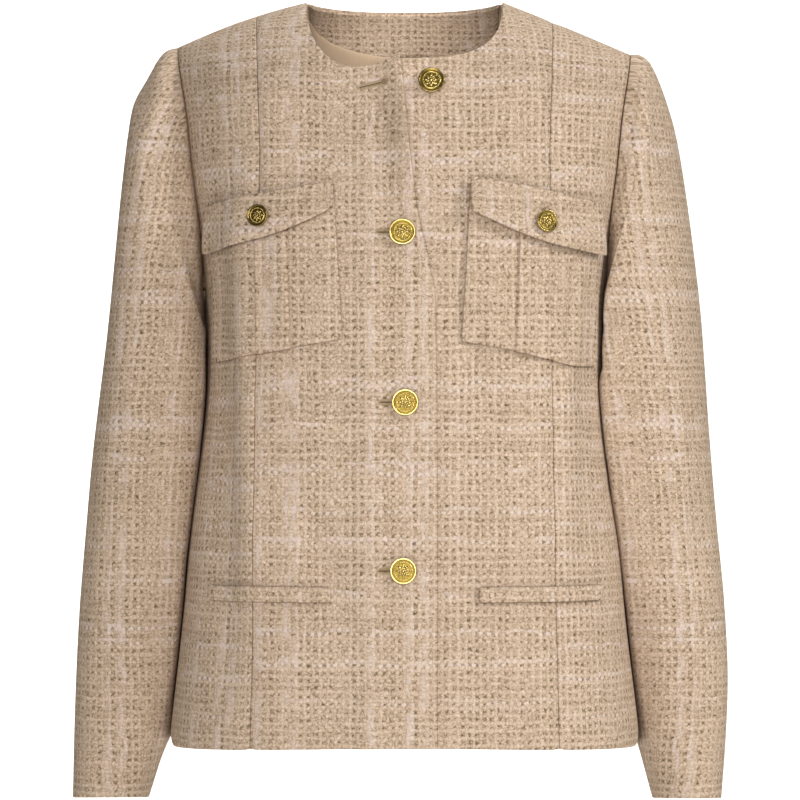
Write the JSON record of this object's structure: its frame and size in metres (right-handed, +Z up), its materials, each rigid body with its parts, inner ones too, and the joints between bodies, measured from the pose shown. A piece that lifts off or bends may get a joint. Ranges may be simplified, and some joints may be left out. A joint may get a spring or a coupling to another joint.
{
  "type": "cropped tweed jacket",
  "caption": "Collarless cropped jacket in boucle tweed, hollow as if worn, with flapped chest pockets, welt pockets, two-piece sleeves and a buttoned front whose top button is undone.",
  "frame": {"origin": "midway between the two shoulder points, level with them, where the wearer's shoulders carry the jacket", "axes": "+Z up, -Y the way the front faces, +X towards the wearer's left arm"},
  "size_m": [0.5262, 0.2458, 0.6424],
  "materials": {
    "tweed": "boucle tweed in cream, beige and olive brown",
    "satin": "satin lining in pinkish beige",
    "brass": "stamped brass buttons, lightly polished"
  },
  "bodies": {
    "root": {"front_right": "tweed", "front_left": "tweed", "side_front_right": "tweed", "side_front_left": "tweed", "back": "tweed", "sleeve_upper_right": "tweed", "sleeve_under_right": "tweed", "sleeve_upper_left": "tweed", "sleeve_under_left": "tweed", "chest_pocket_right": "tweed", "chest_pocket_left": "tweed", "flap_right": "tweed", "flap_left": "tweed", "welt_right": "tweed", "welt_left": "tweed", "neck_facing": "tweed", "back_lining": "satin", "button_top": "brass", "button_chest": "brass", "button_waist": "brass", "button_low": "brass", "button_flap_right": "brass", "button_flap_left": "brass"}
  },
  "joints": []
}
